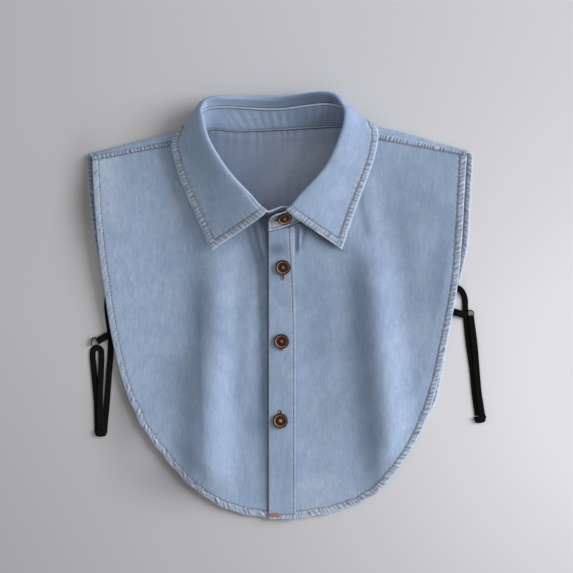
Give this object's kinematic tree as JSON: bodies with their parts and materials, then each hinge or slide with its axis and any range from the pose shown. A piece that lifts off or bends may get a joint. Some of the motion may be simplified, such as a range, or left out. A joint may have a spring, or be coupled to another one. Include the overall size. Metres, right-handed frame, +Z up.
{
  "type": "detachable shirt collar",
  "caption": "Detachable denim shirt collar with a buttoned placket, short front and back panels and elastic side straps, worn under a sweater, lying on its back.",
  "frame": {"origin": "middle of the back panel's flat underside, where the collar lies on a surface", "axes": "+Y from the hem to the neck, the longest side; +X to the picture's right, across the shoulders; +Z up from the surface, the thin side, towards the front of the wearer"},
  "size_m": [0.3836, 0.4097, 0.0444],
  "materials": {
    "denim": "light washed blue denim, matt, faded along the seams",
    "button": "dark brown polished four-hole button with a raised rim",
    "elastic": "black woven flat elastic, matt"
  },
  "bodies": {
    "root": {"back_panel": "denim", "front_left": "denim", "front_right": "denim", "placket": "denim", "collar_stand": "denim", "collar_fall": "denim", "button_stand": "button", "button_upper": "button", "button_middle": "button", "button_lower": "button", "left_strap_rear": "elastic", "left_strap_cross": "elastic", "left_strap_loop": "elastic", "left_strap_keeper": "elastic", "left_strap_end": "elastic", "right_strap_rear": "elastic", "right_strap_cross": "elastic", "right_strap_loop": "elastic", "right_strap_keeper": "elastic", "right_strap_end": "elastic"}
  },
  "joints": []
}
